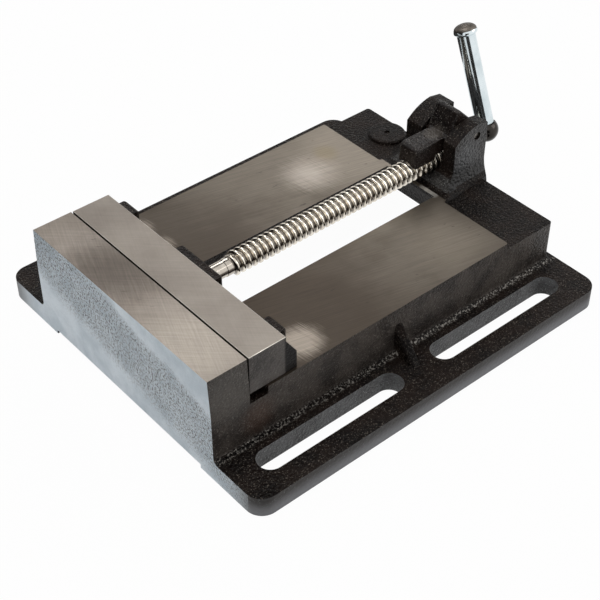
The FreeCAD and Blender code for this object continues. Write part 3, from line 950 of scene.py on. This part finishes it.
thread_plating = plated("plating on the thread", "d6cdbf", "f6f0e4", 0.1, 0.14, True)
screw_plating = plated("plating on the screw", "b9b1a6", "ddd6cb", 0.12, 0.15)
# The ball's plating is coloured dark: a painted dark reflection of its surroundings.
ball_plating_dark_reflection = plated("plating on the ball with a painted dark reflection", "2c2927", "4c4845", 0.08, 0.15)
for piece, plating in ((thread, thread_plating), (nose, screw_plating), (ball, ball_plating_dark_reflection)):
    piece.data.materials.clear()
    piece.data.materials.append(plating)
    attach(piece, "screw")
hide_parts("lead_screw")


# ---------------------------------------------------------------------------
# Lever: a short chromed rod driven into the ball, with a rim and a dull dome on its upper end.
lever_radius = 5.6 * MM
cap_radius = 7.1 * MM
rim_height = 60.2 * MM
rim_top = 62.7 * MM
dome_rise = 3.8 * MM
dome = [
    (rim_top + dome_rise * math.sin(a), max((cap_radius - 0.2 * MM) * math.cos(a), 0.05 * MM))
    for a in [math.pi / 2 * i / 10 for i in range(1, 11)]
]
lever = turned(
    "handle_lever_finished",
    [
        (-4.0 * MM, lever_radius),
        (rim_height - 0.5 * MM, lever_radius),
        (rim_height, lever_radius + 0.6 * MM),
        (rim_height + 0.3 * MM, cap_radius - 0.3 * MM),
        (rim_height + 0.8 * MM, cap_radius),
        (rim_top - 0.6 * MM, cap_radius),
        (rim_top, cap_radius - 0.2 * MM),
    ]
    + dome,
)
lever.data.transform(Matrix.Translation(ball_centre) @ Matrix.Rotation(-lever_tilt, 4, "X"))

lever_chrome = plated("chrome on the lever", "c6d2d6", "e2ebee", 0.07, 0.1)
cap_steel = plated("dull dome of the lever", "4f4944", "6f6962", 0.35, 0.2)


def lever_finish(middle, normal):
    reach = (middle - ball_centre).dot(lever_way)
    return cap_steel if reach > rim_top - 0.2 * MM else lever_chrome


dress(lever, [lever_chrome, cap_steel], lever_finish)
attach(lever, "screw")
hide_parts("handle_lever")


# ---------------------------------------------------------------------------
# Half nut: a cast iron latch that rocks on its pin. Its threaded lug rests in the screw, and
# lifting its hump frees the screw to slide.
hump_start = 101.0 * MM
teeth_top = 61.5 * MM
nut = merged_copy("half_nut", "half_nut_finished")
soft = nut.modifiers.new("one skin", "REMESH")
soft.mode = "VOXEL"
soft.voxel_size = 0.4 * MM
bpy.ops.object.modifier_apply(modifier=soft.name)
above_teeth = nut.vertex_groups.new(name="above the teeth")
for vert in nut.data.vertices:
    if vert.co.x > hump_start:
        above_teeth.add([vert.index], 0.45, "REPLACE")
    elif vert.co.z > teeth_top:
        above_teeth.add([vert.index], 1.0, "REPLACE")
rounding = nut.modifiers.new("cast edges", "SMOOTH")
rounding.factor = 0.5
rounding.iterations = 45
rounding.vertex_group = above_teeth.name
bpy.ops.object.modifier_apply(modifier=rounding.name)
bpy.ops.object.shade_smooth_by_angle(angle=math.radians(45))
nut_paint = painted(
    "paint on the half nut",
    "0c0706",
    "1e1511",
    grain=640.0,
    depth=0.0002,
    roughness=0.3,
    glint="b0aaa2",
    glint_share=0.4,
    shine=0.25,
    marks=[(98.5, 0, 70, 1, 6, "4d4741", 0.7, 2)],
)
nut.data.materials.clear()
nut.data.materials.append(nut_paint)
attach(nut, "half_nut")
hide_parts("half_nut")


# ---------------------------------------------------------------------------
# Small steel parts: the two pins, and under the ways the keeper plate with its two screws and
# spring washers. They are shown as the CAD has them; only the pivot pin's ends are set back.
plain_steel = plated("plain steel", "8d8882", "a5a19b", 0.32, 0.2)
dark_steel = plated("dark pin steel", "2b2826", "4a4643", 0.3, 0.2)
small_parts = {
    "keeper_plate": plain_steel,
    "keeper_screw_1": plain_steel,
    "keeper_screw_2": plain_steel,
    "keeper_washer_1": plain_steel,
    "keeper_washer_2": plain_steel,
    "retaining_pin": dark_steel,
}
for name, steel in small_parts.items():
    frame["nodes"][name].data.materials.clear()
    frame["nodes"][name].data.materials.append(steel)

pivot_pin = merged_copy("nut_pivot_pin", "nut_pivot_pin_finished")
for vert in pivot_pin.data.vertices:
    vert.co.y *= 0.92
smooth_flats(pivot_pin)
pivot_pin.data.materials.clear()
pivot_pin.data.materials.append(plain_steel)
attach(pivot_pin, "base")
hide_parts("nut_pivot_pin")


# ---------------------------------------------------------------------------
# Floor, light and camera: a white table under a soft, plain light, seen from the front left.
bpy.ops.object.select_all(action="DESELECT")
bpy.ops.mesh.primitive_plane_add(size=6.0, location=(0, 0, -0.05 * MM))
floor = bpy.context.object
floor.name = "floor"
white_floor = bpy.data.materials.new("white floor")
white_floor.use_nodes = True
tree = white_floor.node_tree
tree.nodes.remove(tree.nodes["Principled BSDF"])
rays = put(tree, "LightPath").outputs
seen = math_of(tree, "MAXIMUM", rays["Is Camera Ray"], rays["Is Glossy Ray"])
seen = math_of(tree, "MULTIPLY", math_of(tree, "MAXIMUM", seen, rays["Is Transmission Ray"]), 0.97)
matt = put(tree, "BsdfDiffuse", {"Color": (0.8, 0.8, 0.8, 1.0)})
glow = put(tree, "Emission", {"Color": (1.0, 1.0, 1.0, 1.0), "Strength": 1.0})
mixed = put(tree, "MixShader", {0: seen, 1: matt.outputs[0], 2: glow.outputs[0]})
tree.links.new(mixed.outputs[0], tree.nodes["Material Output"].inputs["Surface"])
floor.data.materials.append(white_floor)

world = bpy.data.worlds.new("studio")
bpy.context.scene.world = world
world.use_nodes = True
tree = world.node_tree
back = tree.nodes["Background"]
rays = put(tree, "LightPath").outputs
sky = put(tree, "TexCoord").outputs["Generated"]
height = put(tree, "SeparateXYZ", {"Vector": sky}).outputs["Z"]
horizon = (0.62, 0.62, 0.63, 1.0)
zenith = (0.30, 0.29, 0.28, 1.0)
studio = colour_blend(tree, ramp(tree, height, 0.05, 0.75), horizon, zenith)
seen = math_of(tree, "MAXIMUM", rays["Is Camera Ray"], rays["Is Glossy Ray"])
seen = math_of(tree, "MAXIMUM", seen, rays["Is Transmission Ray"])
tree.links.new(colour_blend(tree, seen, studio, (1.0, 1.0, 1.0, 1.0)), back.inputs["Color"])
back.inputs["Strength"].default_value = 1.0

card_black = bpy.data.materials.new("black card")
card_black.use_nodes = True
card_black.node_tree.nodes["Principled BSDF"].inputs["Base Color"].default_value = rgb("2a2725")
card_black.node_tree.nodes["Principled BSDF"].inputs["Roughness"].default_value = 1.0


def dark_card(name, place, facing, size):
    """A black card beside the vise, seen only as a dark reflection in its polished metal."""
    bpy.ops.object.select_all(action="DESELECT")
    turn = Vector(facing).to_track_quat("Z", "Y").to_euler()
    bpy.ops.mesh.primitive_plane_add(size=size, location=place, rotation=turn)
    card = bpy.context.object
    card.name = name
    card.data.materials.append(card_black)
    card.visible_camera = False
    card.visible_diffuse = False
    card.visible_shadow = False


dark_card("card above the left", (-0.75, 0.05, 0.95), (0.75, 0, -0.95), 0.5)
dark_card("card on the left", (-0.95, 0.1, 0.3), (1, 0, 0), 0.8)
dark_card("card behind on the left", (-0.75, 0.65, 0.3), (0.75, -0.65, 0), 0.7)
dark_card("card on the floor behind", (0.1, 0.66, 0.003), (0, 0, 1), 1.05)
dark_card("card above behind", (0.72, 0.84, 0.97), (-0.72, -0.84, -0.97), 1.3)
dark_card("card on the floor before", (-0.37, -0.37, 0.003), (0, 0, 1), 0.46)
dark_card("card before on the left", (-0.45, -0.9, 0.1), (0.5, 0.85, 0), 0.75)


def softbox(name, place, aim, size, watts):
    """A square soft light that faces the point it is aimed at."""
    lamp = bpy.data.lights.new(name, "AREA")
    lamp.size = size
    lamp.energy = watts
    holder = bpy.data.objects.new(name, lamp)
    holder.location = place
    holder.rotation_euler = (Vector(aim) - Vector(place)).to_track_quat("-Z", "Y").to_euler()
    bpy.context.scene.collection.objects.link(holder)
    return holder


softbox("overhead softbox", (-0.2, 0.1, 1.2), (0, 0, 0), 0.6, 5.5)
softbox("right softbox", (0.9, -0.7, 0.7), (0, 0, 0.03), 0.7, 3.0)
softbox("back softbox", (0.55, 0.65, 0.75), (0.05, 0.05, 0.03), 0.35, 1.6)

view = bpy.data.cameras.new("camera")
view.lens = 81.48
view.sensor_width = 36.0
eye = bpy.data.objects.new("camera", view)
eye.location = (-0.38706, -0.44963, 0.51753)
eye.rotation_euler = (math.radians(90 - 41.238), 0, math.radians(-40.505))
bpy.context.scene.collection.objects.link(eye)
bpy.context.scene.camera = eye
bpy.context.scene.view_settings.view_transform = "Standard"
